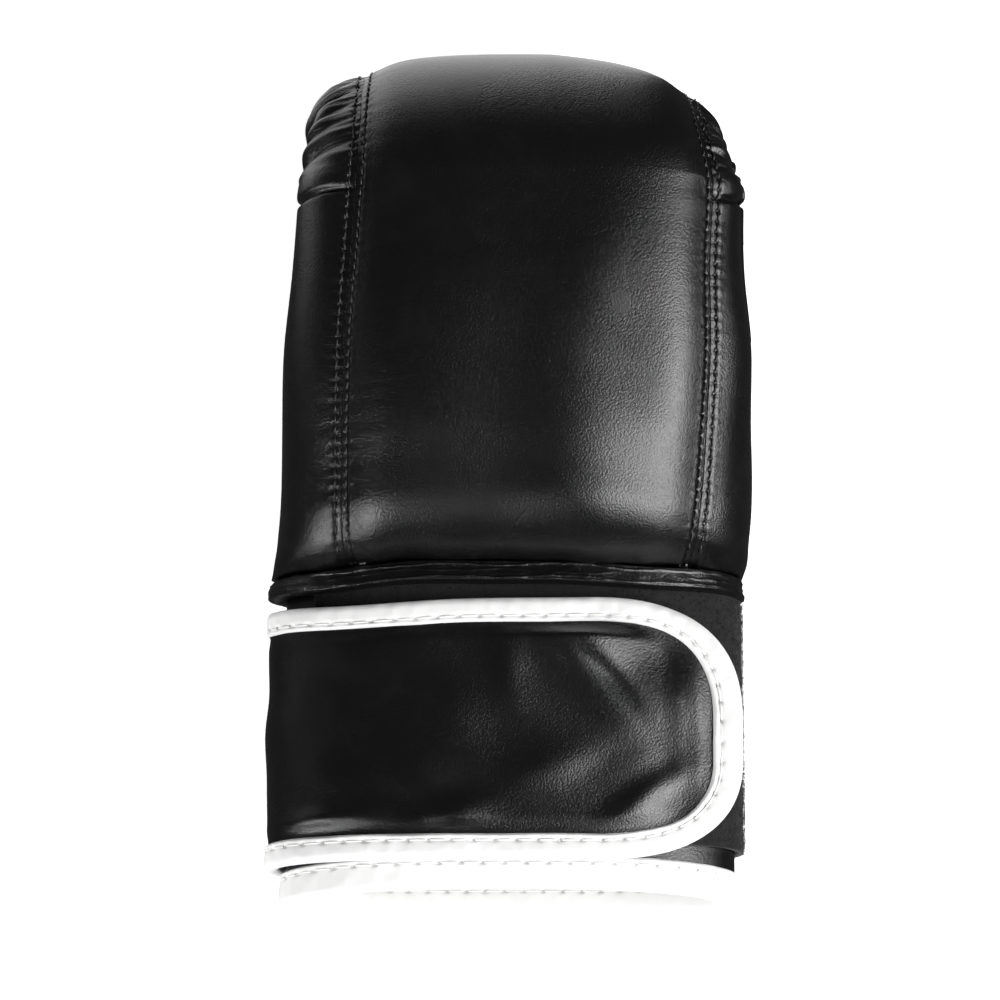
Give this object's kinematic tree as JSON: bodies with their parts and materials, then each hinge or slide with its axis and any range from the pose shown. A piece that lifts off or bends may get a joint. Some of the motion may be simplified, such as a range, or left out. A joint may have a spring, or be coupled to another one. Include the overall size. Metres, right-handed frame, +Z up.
{
  "type": "bag glove",
  "caption": "Padded boxing bag glove lying on its palm side, with curled fingers, gathered side panels, a white-bound cuff and a wrap-round hook-and-loop strap.",
  "frame": {"origin": "middle of the glove's footprint, on the surface that it lies on", "axes": "+Z up through the back of the hand, +Y from the cuff towards the knuckles, -X to the thumb side"},
  "size_m": [0.1368, 0.24, 0.092],
  "materials": {
    "black_leather": "black artificial leather, semi-gloss, fine grain",
    "white_binding": "white artificial-leather binding tape, satin",
    "white_lining": "white knitted lining cloth, matt",
    "black_pile": "black brushed loop pile",
    "black_hook": "black hook tape"
  },
  "bodies": {
    "root": {"back_pad": "black_leather", "side_panel_left": "black_leather", "side_panel_right": "black_leather", "palm_panel": "black_leather", "thumb": "black_leather", "hem": "black_leather", "cuff": "black_leather", "cuff_lining": "white_lining", "rim_binding": "white_binding", "loop_panel": "black_pile", "hook_patch": "black_hook", "strap": "black_leather", "strap_binding": "white_binding"}
  },
  "joints": []
}
